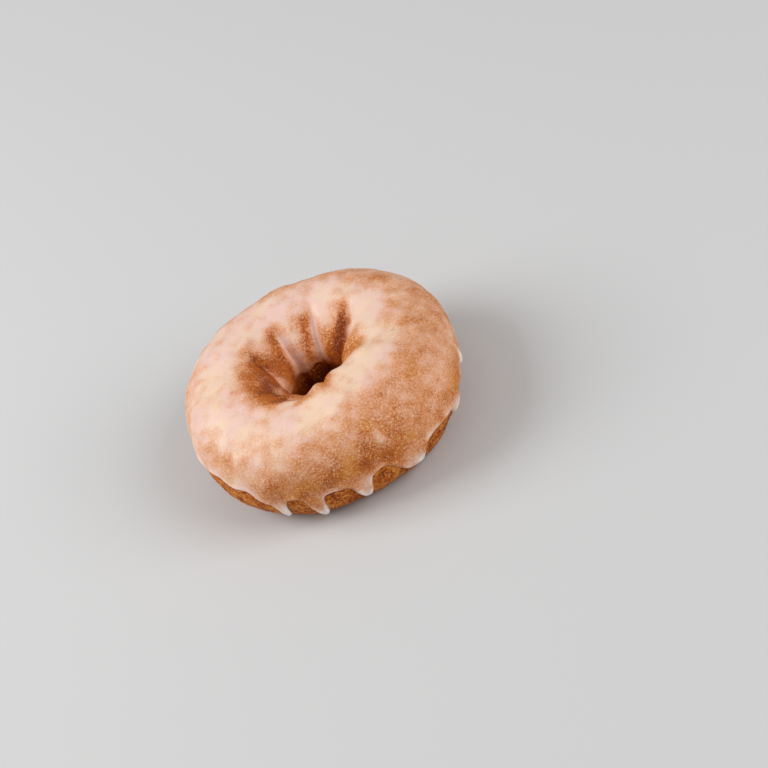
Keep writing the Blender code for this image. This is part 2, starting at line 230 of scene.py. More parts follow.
# The thin glaze on the side: azimuth and section angle of its upper border, and how much thinner
THIN_TOPS = (
    (0.0, 83.0), (20.0, 82.0), (45.0, 81.0), (66.0, 79.0), (90.0, 74.0), (112.0, 62.0),
    (130.0, 50.0), (150.0, 30.0), (172.0, 0.0), (210.0, -4.0), (226.0, 10.0), (240.0, 33.0),
    (256.0, 57.0), (272.0, 73.0), (288.0, 78.0), (302.0, 74.0), (318.0, 82.0), (344.0, 87.0),
)
THIN_SPREAD = (-20.0, 12.0)
THIN_CHANGE = -0.27
# Pale glaze pooled in each crease: where it begins and ends down the section, and how pale. Then the
# slope beyond the crease, bare brown and darker as painted shade: where it begins, and how bare.
CREASE_POOLS = (
    (116.0, 160.0, 0.46, 90.0, 1.0),
    (112.0, 168.0, 0.66, 98.0, 0.8),
    (114.0, 172.0, 0.62, 102.0, 0.5),
    (124.0, 172.0, 0.52, 104.0, 0.6),
    (122.0, 150.0, 0.20, 112.0, 0.4),
    (114.0, 136.0, 0.10, 98.0, 0.2),
    (104.0, 120.0, -0.30, 93.0, 0.4),
    (118.0, 150.0, 0.10, 105.0, 0.4),
)
POOL_LINE_WIDTH = 1.45 * MM
POOL_TOP_SHARE = 0.75
POOL_LINE_EASE = 12.0
# The slope beyond a crease, bare and darkened as painted shade, then the slope before it, paler as
# painted light where it faces the light and where the glaze stayed
SLOPE_THINS = 0.50
SLOPE_PAINTED_SHADE = 0.48
SLOPE_OFFSET = 2.4 * MM
SLOPE_SPREAD = 2.0 * MM
SLOPE_EASE = 26.0
SLOPE_ENDS = (160.0, 178.0)
LIT_COVER = 0.34
LIT_OFFSET = -3.6 * MM
LIT_SPREAD = 2.6 * MM
LIT_BEGINS = (88.0, 104.0)
LIT_FADES = (114.0, 146.0)
# Where the pale glaze is pinker or creamier: azimuth, section angle, half widths, change
ROSY_LEVEL = 0.44
ROSY_PATCHES = (
    (75.0, 100.0, 55.0, 24.0, 0.35),
    (318.0, 36.0, 30.0, 34.0, 0.35),
    (297.0, 104.0, 26.0, 15.0, -0.40),
    (358.0, 108.0, 20.0, 17.0, -0.40),
    (180.0, 40.0, 40.0, 30.0, 0.20),
    (185.0, 148.0, 24.0, 14.0, 0.50),
)
# Paler at the lip and on what ran, and whiter along the rim, at the tips and in the pools; the white
# along the rim, at the tips and on the side run is partly painted highlight
LIP_COVER = 0.32
LIP_COVER_REACH = 1.6 * MM
LIP_BLOT = 7.5
RIM_REACH = 0.9 * MM
RIM_WHITE = 0.75
TIP_FADES = (7.0, 24.0)
POOL_WHITE = 0.12
SIDE_RUN_WHITE_AND_HIGHLIGHT = 0.24
DRIP_COVER = 0.50
SIDE_RUN_COVER = 0.46
# Where else than in the pools the glaze set glossy: azimuth, section angle, half widths, gloss
GLOSS_PATCHES = (
    (192.0, 146.0, 24.0, 16.0, 0.90),
    (165.0, 160.0, 14.0, 14.0, 0.60),
    (60.0, 96.0, 40.0, 14.0, 0.30),
)
# Where golden grains stand out more or less: azimuth, section angle, half widths, change
GRIT_LEVEL = 0.45
GRIT_PATCHES = (
    (338.0, 118.0, 20.0, 16.0, 0.80),
    (50.0, 132.0, 13.0, 30.0, 0.50),
    (88.0, 136.0, 14.0, 30.0, 0.55),
    (176.0, 132.0, 32.0, 26.0, -0.45),
    (28.0, 132.0, 8.0, 26.0, -0.26),
    (268.0, 34.0, 40.0, 32.0, 0.16),
)
GRIT_ENDS = (148.0, 172.0)
# Where the crust is darker or lighter; the dark patches in the funnel are painted shade on walls turned
# from the key light and down the throat: azimuth, section angle, half widths, change of toast and shade
TOAST_PATCHES = (
    (182.0, 130.0, 46.0, 26.0, 0.66),
    (29.0, 134.0, 8.0, 22.0, 0.34),
    (40.0, 160.0, 12.0, 14.0, 0.30),
    (226.0, 118.0, 14.0, 16.0, 0.30),
    (268.0, 4.0, 36.0, 16.0, 0.10),
    (338.0, 118.0, 18.0, 16.0, -0.25),
    (50.0, 128.0, 10.0, 20.0, -0.15),
    (86.0, 130.0, 12.0, 20.0, -0.15),
)

# How dark the crust is, from 0 gold to 1 dark brown: fried darker, and darkest in the throat as painted
# shade
TOAST_LEVEL = 0.32
THROAT_PAINTED_SHADE = 1.0
THROAT_SHADE_DEEPENS = (160.0, 200.0)
BASE_PALER = 0.75
BASE_PALES = (215.0, 262.0)
SIDE_TOAST = 0.36
SIDE_TOASTS = (-58.0, 2.0)

# Columns round the ring, closer together at the drips, and rows over the section
GLAZE_COLUMNS = 618
DOUGH_COLUMNS = 600
DRIP_CROWD = 1.5
DRIP_CROWD_MARGIN = 2.0
CROWD_SAMPLES = 7201
LIP_INSETS = (0.0, 0.03, 0.09, 0.18, 0.31, 0.48, 0.70, 0.98, 1.32, 1.72)
FLANK_ROWS = 26
FLANK_TOP = 36.0
FLANK_SPREAD = 1.12
CREST_ROWS = 108
THROAT_INSETS = (0.5, 0.3, 0.14, 0.04, 0.0)
INNER_ROWS = 11
BASE_ROWS = 22
BARE_ROWS = 50
COVERED_ROWS = 16
THROAT_ROWS = 46
BASE_MIDDLE = -90.0
HEEL = -72.0
COVER_MARGIN = 1.4 * MM
# How the two skins lie: the glaze's edge and inner face in the dough, and the dough below it
EDGE_BURIED = 0.06 * MM
INNER_DEPTH = 0.45 * MM
DOUGH_SUNK = 0.24 * MM
SUNK_RISES = (0.35 * MM, 1.2 * MM)


def signed_power(value, exponent):
    """|value| to the exponent, with the value's sign."""
    return np.sign(value) * np.abs(value) ** exponent


def smooth_step(value, low, high):
    """0 below low, 1 above high, and 3t^2 - 2t^3 between."""
    t = np.clip((value - low) / (high - low), 0.0, 1.0)
    return t * t * (3.0 - 2.0 * t)


def azimuth_gap(azimuth, centre):
    """The signed angle from centre to azimuth, from -180 to 180."""
    return (azimuth - centre + 180.0) % 360.0 - 180.0


def ring_section(angle):
    """Radius and height of the plain section.

    Each quarter is a superellipse: radius is crest radius + reach cos^(2/n), height is equator
    height + rise sin^(2/n). What dips below the table is eased onto it, as the flat resting ring.
    """
    cosine = np.cos(np.radians(angle))
    sine = np.sin(np.radians(angle))
    outer = cosine > 0.0
    upper = sine > 0.0
    fullness = np.where(
        upper,
        np.where(outer, FULL_OUTER_TOP, FULL_INNER_TOP),
        np.where(outer, FULL_OUTER_BASE, FULL_INNER_BASE),
    )
    reach = np.where(outer, OUTER_RADIUS - CREST_RADIUS, CREST_RADIUS - THROAT_RADIUS)
    rise = np.where(upper, HEIGHT - EQUATOR_HEIGHT, EQUATOR_HEIGHT + BASE_SINK)
    radius = CREST_RADIUS + reach * signed_power(cosine, 2.0 / fullness)
    height = EQUATOR_HEIGHT + rise * signed_power(sine, 2.0 / fullness)
    ease = np.clip(0.5 + height / (2.0 * BASE_EASE), 0.0, 1.0)
    return radius, height * ease + BASE_EASE * ease * (1.0 - ease)


def section_normal(angle):
    """The section's outward normal: its tangent over a small step, turned a quarter."""
    radius_a, height_a = ring_section(angle - NORMAL_STEP)
    radius_b, height_b = ring_section(angle + NORMAL_STEP)
    radial = height_b - height_a
    upward = radius_a - radius_b
    length = np.hypot(radial, upward)
    return radial / length, upward / length


run_angles = np.linspace(*RUN_SPAN, RUN_SAMPLES)
run_steps = np.hypot(*(np.diff(part) for part in ring_section(run_angles)))
run_lengths = np.concatenate(([0.0], np.cumsum(run_steps)))
run_lengths -= np.interp(0.0, run_angles, run_lengths)


def section_run(angle):
    """The way along the section from its outermost point to an angle, up being positive."""
    return np.interp(angle, run_angles, run_lengths)


def angle_at(run):
    """The section angle at a way along the section."""
    return np.interp(run, run_lengths, run_angles)


def slow_waves(azimuth, waves):
    """The sum of depth cos(count (azimuth - crest)) over the waves."""
    total = np.zeros_like(azimuth)
    for count, depth, crest in waves:
        total = total + depth * np.cos(np.radians(count * (azimuth - crest)))
    return total


def patch_sum(azimuth, angle, patches):
    """The sum of soft oval patches: change exp(-(around / half)^2 - (across / half)^2)."""
    total = np.zeros_like(azimuth + angle)
    for centre, middle, half_around, half_across, change in patches:
        around = azimuth_gap(azimuth, centre) / half_around
        across = (angle - middle) / half_across
        total = total + change * np.exp(-around ** 2 - across ** 2)
    return total


def lump_relief(azimuth, angle):
    """The swells, and seeded waves cos(a azimuth + b angle + phase), the finer the shallower."""
    draw = np.random.default_rng(LUMP_SEED)
    total = patch_sum(azimuth, angle, SWELLS)
    for _ in range(LUMP_COUNT):
        around = draw.integers(LUMP_LEAST_AROUND, LUMP_MOST_AROUND + 1)
        across = draw.integers(-LUMP_MOST_SECTION, LUMP_MOST_SECTION + 1)
        phase = draw.uniform(0.0, 360.0)
        depth = LUMP_DEPTH / np.hypot(around, 2.0 * across)
        total = total + depth * np.cos(np.radians(around * azimuth + across * angle + phase))
    return total


def lean_turn(lean, angle):
    """How far a line of that lean has turned: lean times the angle past the funnel's rim."""
    band = np.clip(angle, *LEAN_BAND) - LEAN_BAND[0]
    return lean * band * (1.0 - smooth_step(angle, *LEAN_UNWIND))


def crease_gap(azimuth, angle, radius, crease):
    """Distance round the ring from a crease's line, negative before it."""
    return radius * np.radians(azimuth_gap(azimuth, crease[0] + lean_turn(crease[1], angle)))


def crease_depth(azimuth, angle, radius):
    """How deep the creases cut: the sum of depth exp(-(away / half width)^sharpness) over them.

    The distance away is counted round a small radius, because the glaze fills a crease's bottom.
    """
    total = np.zeros_like(azimuth + angle)
    for crease in CREASES:
        _, _, depth, before, after, start = crease
        gap = crease_gap(azimuth, angle, radius, crease)
        away = np.hypot(gap, CREASE_ROUND) - CREASE_ROUND
        cusp = np.exp(-(away / np.where(gap < 0.0, before, after)) ** CREASE_SHARPNESS)
        run_in = smooth_step(angle, start, start + CREASE_RUN_IN)
        total = total + depth * cusp * run_in * (1.0 - smooth_step(angle, *CREASE_FADES))
    return total


def drip_shape(azimuth, centre, before, after):
    """1 on a drip's middle line: exp(-x^4) for the blunt tongue, and a share of a wider root."""
    gap = azimuth_gap(azimuth, centre)
    across = np.abs(gap / np.where(gap < 0.0, before, after))
    tongue = np.exp(-across ** DRIP_BLUNTNESS)
    root = np.exp(-(across / DRIP_ROOT_SPREAD) ** 2)
    return (1.0 - DRIP_ROOT_SHARE) * tongue + DRIP_ROOT_SHARE * root


def edge_angle(azimuth):
    """Section angle of the glaze's lower edge: eased between its levels, lowered at each drip."""
    turn = azimuth % 360.0
    level_at = np.array([level[0] for level in EDGE_LEVELS] + [360.0])
    level = np.array([level[1] for level in EDGE_LEVELS] + [EDGE_LEVELS[0][1]])
    index = np.clip(np.searchsorted(level_at, turn, side="right") - 1, 0, len(EDGE_LEVELS) - 1)
    part = smooth_step(turn, level_at[index], level_at[index + 1])
    base = level[index] + (level[index + 1] - level[index]) * part + slow_waves(azimuth, EDGE_WAVES)
    edge = base
    for centre, tip, before, after, _ in DRIPS:
        edge = edge - (base - tip) * drip_shape(azimuth, centre, before, after)
    return edge


def edge_distance(azimuth, angle):
    """Distance from the glaze's lower edge on the unrolled side: positive on the glaze.

    For each point it is the least distance to the edge's line. Rows that lie wholly above the
    section angle EDGE_REACH are far from the edge, and take the way up to that angle instead.
    """
    line_azimuth = np.linspace(-EDGE_OVERLAP, 360.0 + EDGE_OVERLAP, EDGE_SAMPLES)
    line_x = OUTER_RADIUS * np.radians(line_azimuth)
    line_y = section_run(edge_angle(line_azimuth))
    x = OUTER_RADIUS * np.radians(azimuth % 360.0)
    y = section_run(angle)
    distance = np.full(angle.shape, section_run(EDGE_REACH))
    for row in np.flatnonzero(angle.min(axis=0) < EDGE_REACH):
        gap_x = x[:, row:row + 1] - line_x
        gap_y = y[:, row:row + 1] - line_y
        distance[:, row] = np.sqrt((gap_x ** 2 + gap_y ** 2).min(axis=1))
    return np.where(angle >= edge_angle(azimuth), distance, -distance)


def drip_sum(azimuth, angle, fades, strengths):
    """The sum of strength times shape over the drips, fading out between two angles above a tip."""
    total = np.zeros_like(azimuth + angle)
    for (centre, tip, before, after, _), strength in zip(DRIPS, strengths):
        shape = drip_shape(azimuth, centre, before, after)
        total = total + strength * shape * (1.0 - smooth_step(angle, tip + fades[0], tip + fades[1]))
    return total


def side_run(azimuth, angle):
    """1 on the short run that set on the side: a ridge round at its foot, thinning out upward."""
    across = OUTER_RADIUS * np.radians(azimuth_gap(azimuth, SIDE_RUN_AZIMUTH)) / SIDE_RUN_HALF_WIDTH
    along = smooth_step(angle, *SIDE_RUN_FOOT) * (1.0 - smooth_step(angle, *SIDE_RUN_THINS))
    return np.exp(-across ** 2) * along


def throat_edge(azimuth):
    """Section angle where the glaze ends, down in the throat."""
    return THROAT_EDGE + slow_waves(azimuth, THROAT_EDGE_WAVES)


def round_lip(distance, width):
    """A quarter circle: 0 at the edge and 1 from one width inward."""
    inward = 1.0 - np.clip(distance / width, 0.0, 1.0)
    return np.sqrt(1.0 - inward ** 2)


def glaze_thickness(azimuth, angle, crease, distance):
    """The body, a bead along the lip, a ripple, pools in the creases, the drips and the side run.

    All of it falls to nothing over the round lip, and it thins out down the throat.
    """
    bead = LIP_BEAD * np.exp(-((distance - LIP_BEAD_INSET) / LIP_BEAD_SPREAD) ** 2)
    ripple = GLAZE_RIPPLE * np.cos(np.radians(RIPPLES_AROUND * azimuth + RIPPLES_ACROSS * angle))
    pool = GLAZE_POOL * np.clip(crease / POOL_FULL_DEPTH, 0.0, 1.0)
    run = SIDE_RUN_BULGE * side_run(azimuth, angle)
    drips = drip_sum(azimuth, angle, DRIP_FADES, [bulge for *_, bulge in DRIPS])
    body = GLAZE_BODY + bead + ripple + pool + drips + run
    thins = 1.0 - (1.0 - THROAT_SHARE_LEFT) * smooth_step(angle, *THROAT_THINS)
    to_end = section_run(throat_edge(azimuth)) - section_run(angle)
    return body * thins * round_lip(distance, LIP_WIDTH) * round_lip(to_end, THROAT_LIP_WIDTH)


def relief_room(angle):
    """0 over the flat resting ring and 1 above it, so that relief leaves the ring flat."""
    return smooth_step(angle, *RELIEF_GROWS) * (1.0 - smooth_step(angle, *RELIEF_FADES))


def ring_points(azimuth, angle, relief):
    """Points at a relief along the section's normal, on the plan's and the crest's slow waves."""
    radius, height = ring_section(angle)
    radial, upward = section_normal(angle)
    radius = radius + relief * radial + slow_waves(azimuth, PLAN_WAVES) * radius / OUTER_RADIUS
    rise = slow_waves(azimuth, CREST_WAVES) * np.clip(height / HEIGHT, 0.0, 1.0)
    height = height + relief * upward + rise
    turn = np.radians(azimuth)
    return np.stack((radius * np.cos(turn), radius * np.sin(turn), height), axis=-1)


def wave_field(points, size, strength, seed):
    """Smooth seeded noise: strength times a sum of plane waves of unit spread, all near one size."""
    draw = np.random.default_rng(seed)
    direction = draw.normal(size=(WAVES_A_FIELD, 3))
    direction /= np.linalg.norm(direction, axis=1, keepdims=True)
    number = 2.0 * math.pi / (size * draw.uniform(*WAVE_LENGTHS, size=(WAVES_A_FIELD, 1)))
    phase = draw.uniform(0.0, 2.0 * math.pi, size=WAVES_A_FIELD)
    field = np.zeros(points.shape[:-1])
    for vector, start in zip(direction * number, phase):
        field += np.cos(points @ vector + start)
    return strength * (field * math.sqrt(2.0 / WAVES_A_FIELD))


def crust_relief(points, share):
    """Dents, and a share of the pebbles and grains, of the fried crust."""
    dents, pebbles, grains = (wave_field(points, *waves) for waves in (DENTS, PEBBLES, GRAINS))
    return dents + share * (pebbles + grains)


def cover_level(angle):
    """Cover over the section, straight between its levels."""
    return np.interp(angle, *zip(*COVER_LEVELS))


def bare_and_shaded_slopes(azimuth, angle, radius):
    """Up to 1 on the slope beyond each crease, which is turned from the light: the glaze ran off there,
    and it is made browner as painted shade.
    """
    total = np.zeros_like(azimuth + angle)
    for crease, (_, _, _, start, bareness) in zip(CREASES, CREASE_POOLS):
        gap = crease_gap(azimuth, angle, radius, crease)
        along = smooth_step(angle, start, start + SLOPE_EASE) * (1.0 - smooth_step(angle, *SLOPE_ENDS))
        total = total + bareness * along * np.exp(-((gap - SLOPE_OFFSET) / SLOPE_SPREAD) ** 2)
    return np.minimum(total, 1.0)


def pool_lines(azimuth, angle, radius):
    """How pale the glaze is that pooled along each crease's line."""
    total = np.zeros_like(azimuth + angle)
    for crease, (start, end, paleness, _, _) in zip(CREASES, CREASE_POOLS):
        gap = crease_gap(azimuth, angle, radius, crease)
        along = smooth_step(angle, start, start + POOL_LINE_EASE)
        along = along * (1.0 - smooth_step(angle, end, end + POOL_LINE_EASE))
        width = POOL_LINE_WIDTH * (POOL_TOP_SHARE + smooth_step(angle, start, end))
        total = total + along * paleness * np.exp(-(gap / width) ** 2)
    return total


def lit_slopes(azimuth, angle, radius):
    """About 1 on the slope before each crease, near the funnel's rim: paler where the glaze stayed, and
    as painted light where it faces the light.
    """
    total = np.zeros_like(azimuth + angle)
    for crease in CREASES:
        gap = crease_gap(azimuth, angle, radius, crease)
        total = total + np.exp(-((gap - LIT_OFFSET) / LIT_SPREAD) ** 2)
    return total * smooth_step(angle, *LIT_BEGINS) * (1.0 - smooth_step(angle, *LIT_FADES))


def thin_side(azimuth, angle):
    """1 on the side where the glaze ran thin, easing to 0 across its upper border."""
    border = np.interp(azimuth % 360.0, *zip(*THIN_TOPS), period=360.0)
    return 1.0 - smooth_step(angle - border, *THIN_SPREAD)


def glaze_cover(azimuth, angle, radius, distance, points):
    """How pale the glaze lies, from 0 to 1.

    It is the level over the section, plus patches, seeded drift and blots, the slope before each crease
    as partly painted light, the pools, the lip and what ran, less the thin side and the bare slopes,
    which are partly painted shade.
    """
    cover = cover_level(angle) + patch_sum(azimuth, angle, COVER_PATCHES)
    cover = cover + THIN_CHANGE * thin_side(azimuth, angle)
    blot = wave_field(points, *COVER_BLOTS)
    cover = cover + wave_field(points, *COVER_DRIFT) + blot
    cover = cover + LIT_COVER * lit_slopes(azimuth, angle, radius)
    cover = cover + pool_lines(azimuth, angle, radius)
    cover = cover - SLOPE_THINS * bare_and_shaded_slopes(azimuth, angle, radius)
    lip = LIP_COVER * np.exp(-(distance / LIP_COVER_REACH) ** 2)
    cover = cover + lip * (1.0 + LIP_BLOT * blot)
    cover = cover + drip_sum(azimuth, angle, DRIP_FADES, [DRIP_COVER] * len(DRIPS))
    cover = cover + SIDE_RUN_COVER * side_run(azimuth, angle)
    return np.clip(cover, 0.0, 1.0)


def glaze_rosy(azimuth, angle, radius, distance):
    """How pink the pale glaze is, from 0 to 1: in patches, along its lip and in the creases."""
    rosy = ROSY_LEVEL + patch_sum(azimuth, angle, ROSY_PATCHES)
    rosy = rosy + np.exp(-(distance / LIP_COVER_REACH) ** 2) + pool_lines(azimuth, angle, radius)
    return np.clip(rosy, 0.0, 1.0)


def glaze_white_and_highlight(azimuth, angle, radius, distance):
    """Where the glaze is white: thick along its rim, in pools, at the drips' tips and on the run, with
    painted highlight along the rim, at the tips and on the run.
    """
    white = RIM_WHITE * np.exp(-(distance / RIM_REACH) ** 2) + SIDE_RUN_WHITE_AND_HIGHLIGHT * side_run(azimuth, angle)
    white = white + POOL_WHITE * pool_lines(azimuth, angle, radius)
    white = white + drip_sum(azimuth, angle, TIP_FADES, [1.0] * len(DRIPS))
    return np.clip(white, 0.0, 1.0)


def glaze_gloss(azimuth, angle, radius):
    """How smooth the glaze set, from 0 to 1: in the crease pools and in patches."""
    gloss = pool_lines(azimuth, angle, radius) + patch_sum(azimuth, angle, GLOSS_PATCHES)
    return np.clip(gloss, 0.0, 1.0)


def glaze_grit(azimuth, angle):
    """How much the golden grains of the crust stand out, from 0 to 1: none deep in the throat."""
    grit = np.clip(GRIT_LEVEL + patch_sum(azimuth, angle, GRIT_PATCHES), 0.0, 1.0)
    return grit * (1.0 - smooth_step(angle, *GRIT_ENDS))


def crust_toast_and_shade(azimuth, angle, points):
    """How dark the crust is: fried darker on the bare side and in slow patches, and darkest in the
    throat, where the darkness is painted shade.
    """
    # painted shade: the crust darkens down the throat, and less so under the base
    throat = smooth_step(angle, *THROAT_SHADE_DEEPENS) * (1.0 - BASE_PALER * smooth_step(angle, *BASE_PALES))
    side = 1.0 - smooth_step(angle, *SIDE_TOASTS)
    toast_and_shade = TOAST_LEVEL + THROAT_PAINTED_SHADE * throat + SIDE_TOAST * side
    toast_and_shade = toast_and_shade + patch_sum(azimuth, angle, TOAST_PATCHES)
    return np.maximum(toast_and_shade + wave_field(points, *TOAST_DRIFT), 0.0)


def column_azimuths(columns):
    """Azimuths of a grid's columns, at even steps of the running sum of their crowding.

    The crowding is 1, and each drip adds a share of exp(-(gap / reach)^4) to it.
    """
    fine = np.linspace(0.0, 360.0, CROWD_SAMPLES)
    crowd = np.ones_like(fine)
    for centre, _, before, after, _ in DRIPS:
        middle = centre + (after - before) / 2.0
        reach = (before + after) / 2.0 + DRIP_CROWD_MARGIN
        crowd = crowd + DRIP_CROWD * np.exp(-(azimuth_gap(fine, middle) / reach) ** 4)
    count = np.concatenate(([0.0], np.cumsum((crowd[1:] + crowd[:-1]) / 2.0)))
    return np.interp(np.arange(columns) * count[-1] / columns, count, fine)


def lean_columns(azimuth, angle):
    """Columns turned with the creases beside them, so that the grid runs along every crease."""
    centres = np.array([crease[0] for crease in CREASES])
    leans = np.array([crease[1] for crease in CREASES])
    return azimuth + lean_turn(np.interp(azimuth, centres, leans, period=360.0), angle)


def even_rows(start, end, rows, spread=1.0):
    """Ways along the section from start to end, both left out, spaced as a power of the step."""
    part = (np.arange(1, rows + 1) / (rows + 1)) ** spread
    return start[:, None] + (end - start)[:, None] * part


def glaze_outer_rows(azimuth):
    """Section angles of the glaze's outer face: its lip, its flank, and on over the crest."""
    edge = section_run(edge_angle(azimuth))
    end = section_run(throat_edge(azimuth))
    flank_top = section_run(FLANK_TOP) * np.ones_like(azimuth)
    lip = edge[:, None] + np.array(LIP_INSETS) * MM
    flank = even_rows(lip[:, -1], flank_top, FLANK_ROWS, FLANK_SPREAD)
    throat_lip = end[:, None] - np.array(THROAT_INSETS) * MM
    crest = even_rows(flank_top, throat_lip[:, 0], CREST_ROWS)
    return angle_at(np.concatenate((lip, flank, flank_top[:, None], crest, throat_lip), axis=1))


def dough_rows(azimuth):
    """Section angles of the dough: its base and bare side, few under the glaze, and the throat."""
    edge = section_run(edge_angle(azimuth))
    end = section_run(throat_edge(azimuth))
    heel = section_run(HEEL) * np.ones_like(azimuth)
    middle = section_run(BASE_MIDDLE) * np.ones_like(azimuth)
    base = even_rows(middle, heel, BASE_ROWS)
    covered = edge + COVER_MARGIN
    bare = even_rows(heel, covered, BARE_ROWS)
    uncovered = end - COVER_MARGIN
    under_glaze = even_rows(covered, uncovered, COVERED_ROWS)
    underside = section_run(BASE_MIDDLE + 360.0) * np.ones_like(azimuth)
    throat = even_rows(uncovered, underside, THROAT_ROWS)
    lines = [line[:, None] for line in (middle, heel, covered, uncovered)]
    order = (lines[0], base, lines[1], bare, lines[2], under_glaze, lines[3], throat)
    return angle_at(np.concatenate(order, axis=1))


def grid_faces(columns, rows):
    """Quads of a grid that closes both ways, wound so that they face outward."""
    column, row = np.meshgrid(np.arange(columns), np.arange(rows), indexing="ij")
    next_column = (column + 1) % columns
    next_row = (row + 1) % rows
    corners = (
        column * rows + row,
        next_column * rows + row,
        next_column * rows + next_row,
        column * rows + next_row,
    )
    return np.stack(corners, axis=-1).reshape(-1, 4)


def grid_piece(name, points, fields, material):
    """One smooth closed mesh from a grid of points, with a named value at each point."""
    mesh = bpy.data.meshes.new(name)
    mesh.from_pydata(points.reshape(-1, 3), [], grid_faces(*points.shape[:2]))
    mesh.shade_smooth()
    for field, values in fields.items():
        layer = mesh.attributes.new(field, "FLOAT", "POINT")
        layer.data.foreach_set("value", values.astype(np.float32).ravel())
    mesh.materials.append(material)
    piece = bpy.data.objects.new(name, mesh)
    bpy.context.scene.collection.objects.link(piece)
    return piece


def glaze_grid():
    """The glaze as one closed skin: out over its outer face, and back inside the dough."""
    azimuth = column_azimuths(GLAZE_COLUMNS)
    outer = glaze_outer_rows(azimuth)
    inner = angle_at(even_rows(section_run(outer[:, -1]), section_run(outer[:, 0]), INNER_ROWS))
    angle = np.concatenate((outer, inner), axis=1)
    turned = lean_columns(azimuth[:, None], angle)
    radius, _ = ring_section(angle)
    crease = crease_depth(turned, angle, radius)
    distance = np.maximum(edge_distance(turned, angle), 0.0)
    dough = lump_relief(turned, angle) - crease
    plain = ring_points(turned, angle, dough)
    cover = glaze_cover(turned, angle, radius, distance, plain)
    thickness = glaze_thickness(turned, angle, crease, distance)
    lip = round_lip(distance, LIP_WIDTH)
    crust = crust_relief(plain, lip * (1.0 - CRUST_HIDDEN * cover))
    relief = relief_room(angle) * (dough + crust + thickness - EDGE_BURIED * (1.0 - lip))
    hidden = np.arange(angle.shape[1]) >= outer.shape[1]
    relief = np.where(hidden, relief_room(angle) * dough - INNER_DEPTH, relief)
    # the toast field carries painted shade in the throat, in the funnel patches and on the slope beyond
    # each crease
    fields = {
        "cover": cover,
        "toast_and_shade": crust_toast_and_shade(turned, angle, plain) + SLOPE_PAINTED_SHADE * bare_and_shaded_slopes(turned, angle, radius),
        "rosy": glaze_rosy(turned, angle, radius, distance),
        "white": glaze_white_and_highlight(turned, angle, radius, distance),
        "gloss": glaze_gloss(turned, angle, radius),
        "grit": glaze_grit(turned, angle),
    }
    return ring_points(turned, angle, relief), fields


def dough_grid():
    """The dough as one closed skin, sunk a little where the glaze lies over it."""
    azimuth = column_azimuths(DOUGH_COLUMNS)
    angle = dough_rows(azimuth)
    turned = lean_columns(azimuth[:, None], angle)
    radius, _ = ring_section(angle)
    crease = crease_depth(turned, angle, radius)
    dough = relief_room(angle) * (lump_relief(turned, angle) - crease)
    plain = ring_points(turned, angle, dough)
    to_end = section_run(throat_edge(turned)) - section_run(angle)
    inside = np.minimum(edge_distance(turned, angle), to_end)
    sunk = DOUGH_SUNK * smooth_step(inside, *SUNK_RISES)
    pucker = (1.0 - relief_room(angle)) * np.abs(wave_field(plain, *PUCKERS))
    relief = dough + relief_room(angle) * crust_relief(plain, 1.0) - sunk - pucker
    return ring_points(turned, angle, relief), {"toast_and_shade": crust_toast_and_shade(turned, angle, plain)}


class Shading:
    """Short ways to add nodes to one node tree and to link them."""

    def __init__(self, tree):
        self.tree = tree

    def add(self, kind, inputs=None, **settings):
        """A node of one kind; its inputs are linked from sockets or set to plain values."""
        made = self.tree.nodes.new(kind)
        for name, value in settings.items():
            setattr(made, name, value)
        for name, value in (inputs or {}).items():
            if isinstance(value, bpy.types.NodeSocket):
                self.tree.links.new(value, made.inputs[name])
            else:
                made.inputs[name].default_value = value
        return made

    def math(self, operation, *values, clamp=False):
        """One arithmetic step on up to three values."""
        made = self.add("ShaderNodeMath", dict(enumerate(values)), operation=operation, use_clamp=clamp)
        return made.outputs[0]

    def scaled(self, value, low, high, to_low=0.0, to_high=1.0):
        """The value's range from low to high carried smoothly onto another range."""
        inputs = {0: value, 1: low, 2: high, 3: to_low, 4: to_high}
        return self.add("ShaderNodeMapRange", inputs, interpolation_type="SMOOTHSTEP").outputs[0]

    def blend(self, factor, first, second):
        """Two colours mixed by a factor."""
        inputs = {0: factor, 6: first, 7: second}
        return self.add("ShaderNodeMix", inputs, data_type="RGBA").outputs[2]

    def field(self, name):
        """A value stored at the piece's points."""
        return self.add("ShaderNodeAttribute", attribute_name=name).outputs["Fac"]

    def noise(self, vector, scale, detail, roughness):
        """Cloudy noise, its grains one over the scale wide."""
        inputs = {"Vector": vector, "Scale": scale, "Detail": detail, "Roughness": roughness}
        return self.add("ShaderNodeTexNoise", inputs).outputs[0]

    def cells(self, vector, scale):
        """Round cells: the distance from each cell's middle, and a number drawn for each cell."""
        made = self.add("ShaderNodeTexVoronoi", {"Vector": vector, "Scale": scale})
        drawn = self.add("ShaderNodeSeparateColor", {0: made.outputs["Color"]})
        return made.outputs["Distance"], drawn.outputs[0]

    def place(self):
        """The object's own coordinates."""
        return self.add("ShaderNodeTexCoord").outputs["Object"]

    def join(self, value, socket):
        """A link from a value to a socket."""
        self.tree.links.new(value, socket)


# Fried grain: detail and roughness of its noise, the range used, its beads, the shares of both
FINE_NOISE = (3.0, 0.6)
FINE_RANGE = (0.30, 0.70)
BEAD_FINENESS = 1.1
BEAD_RIM_TO_TOP = (0.62, 0.12)
TONE_BEADS = 0.55
TONE_NOISE = 0.62
HEIGHT_BEADS = 0.5
HEIGHT_NOISE = 0.5
# Mottle: detail and roughness of its two noises, their shares, and the range used
BROAD_NOISE = (2.0, 0.5)
FINER_NOISE = (2.0, 0.55)
FINER_TIMES = 3.1
BROAD_SHARE = 0.58
FINER_SHARE = 0.42
MOTTLE_RANGE = (0.36, 0.64)
# Specks: how near its middle a speck is full
SPECK_FULL = 0.7


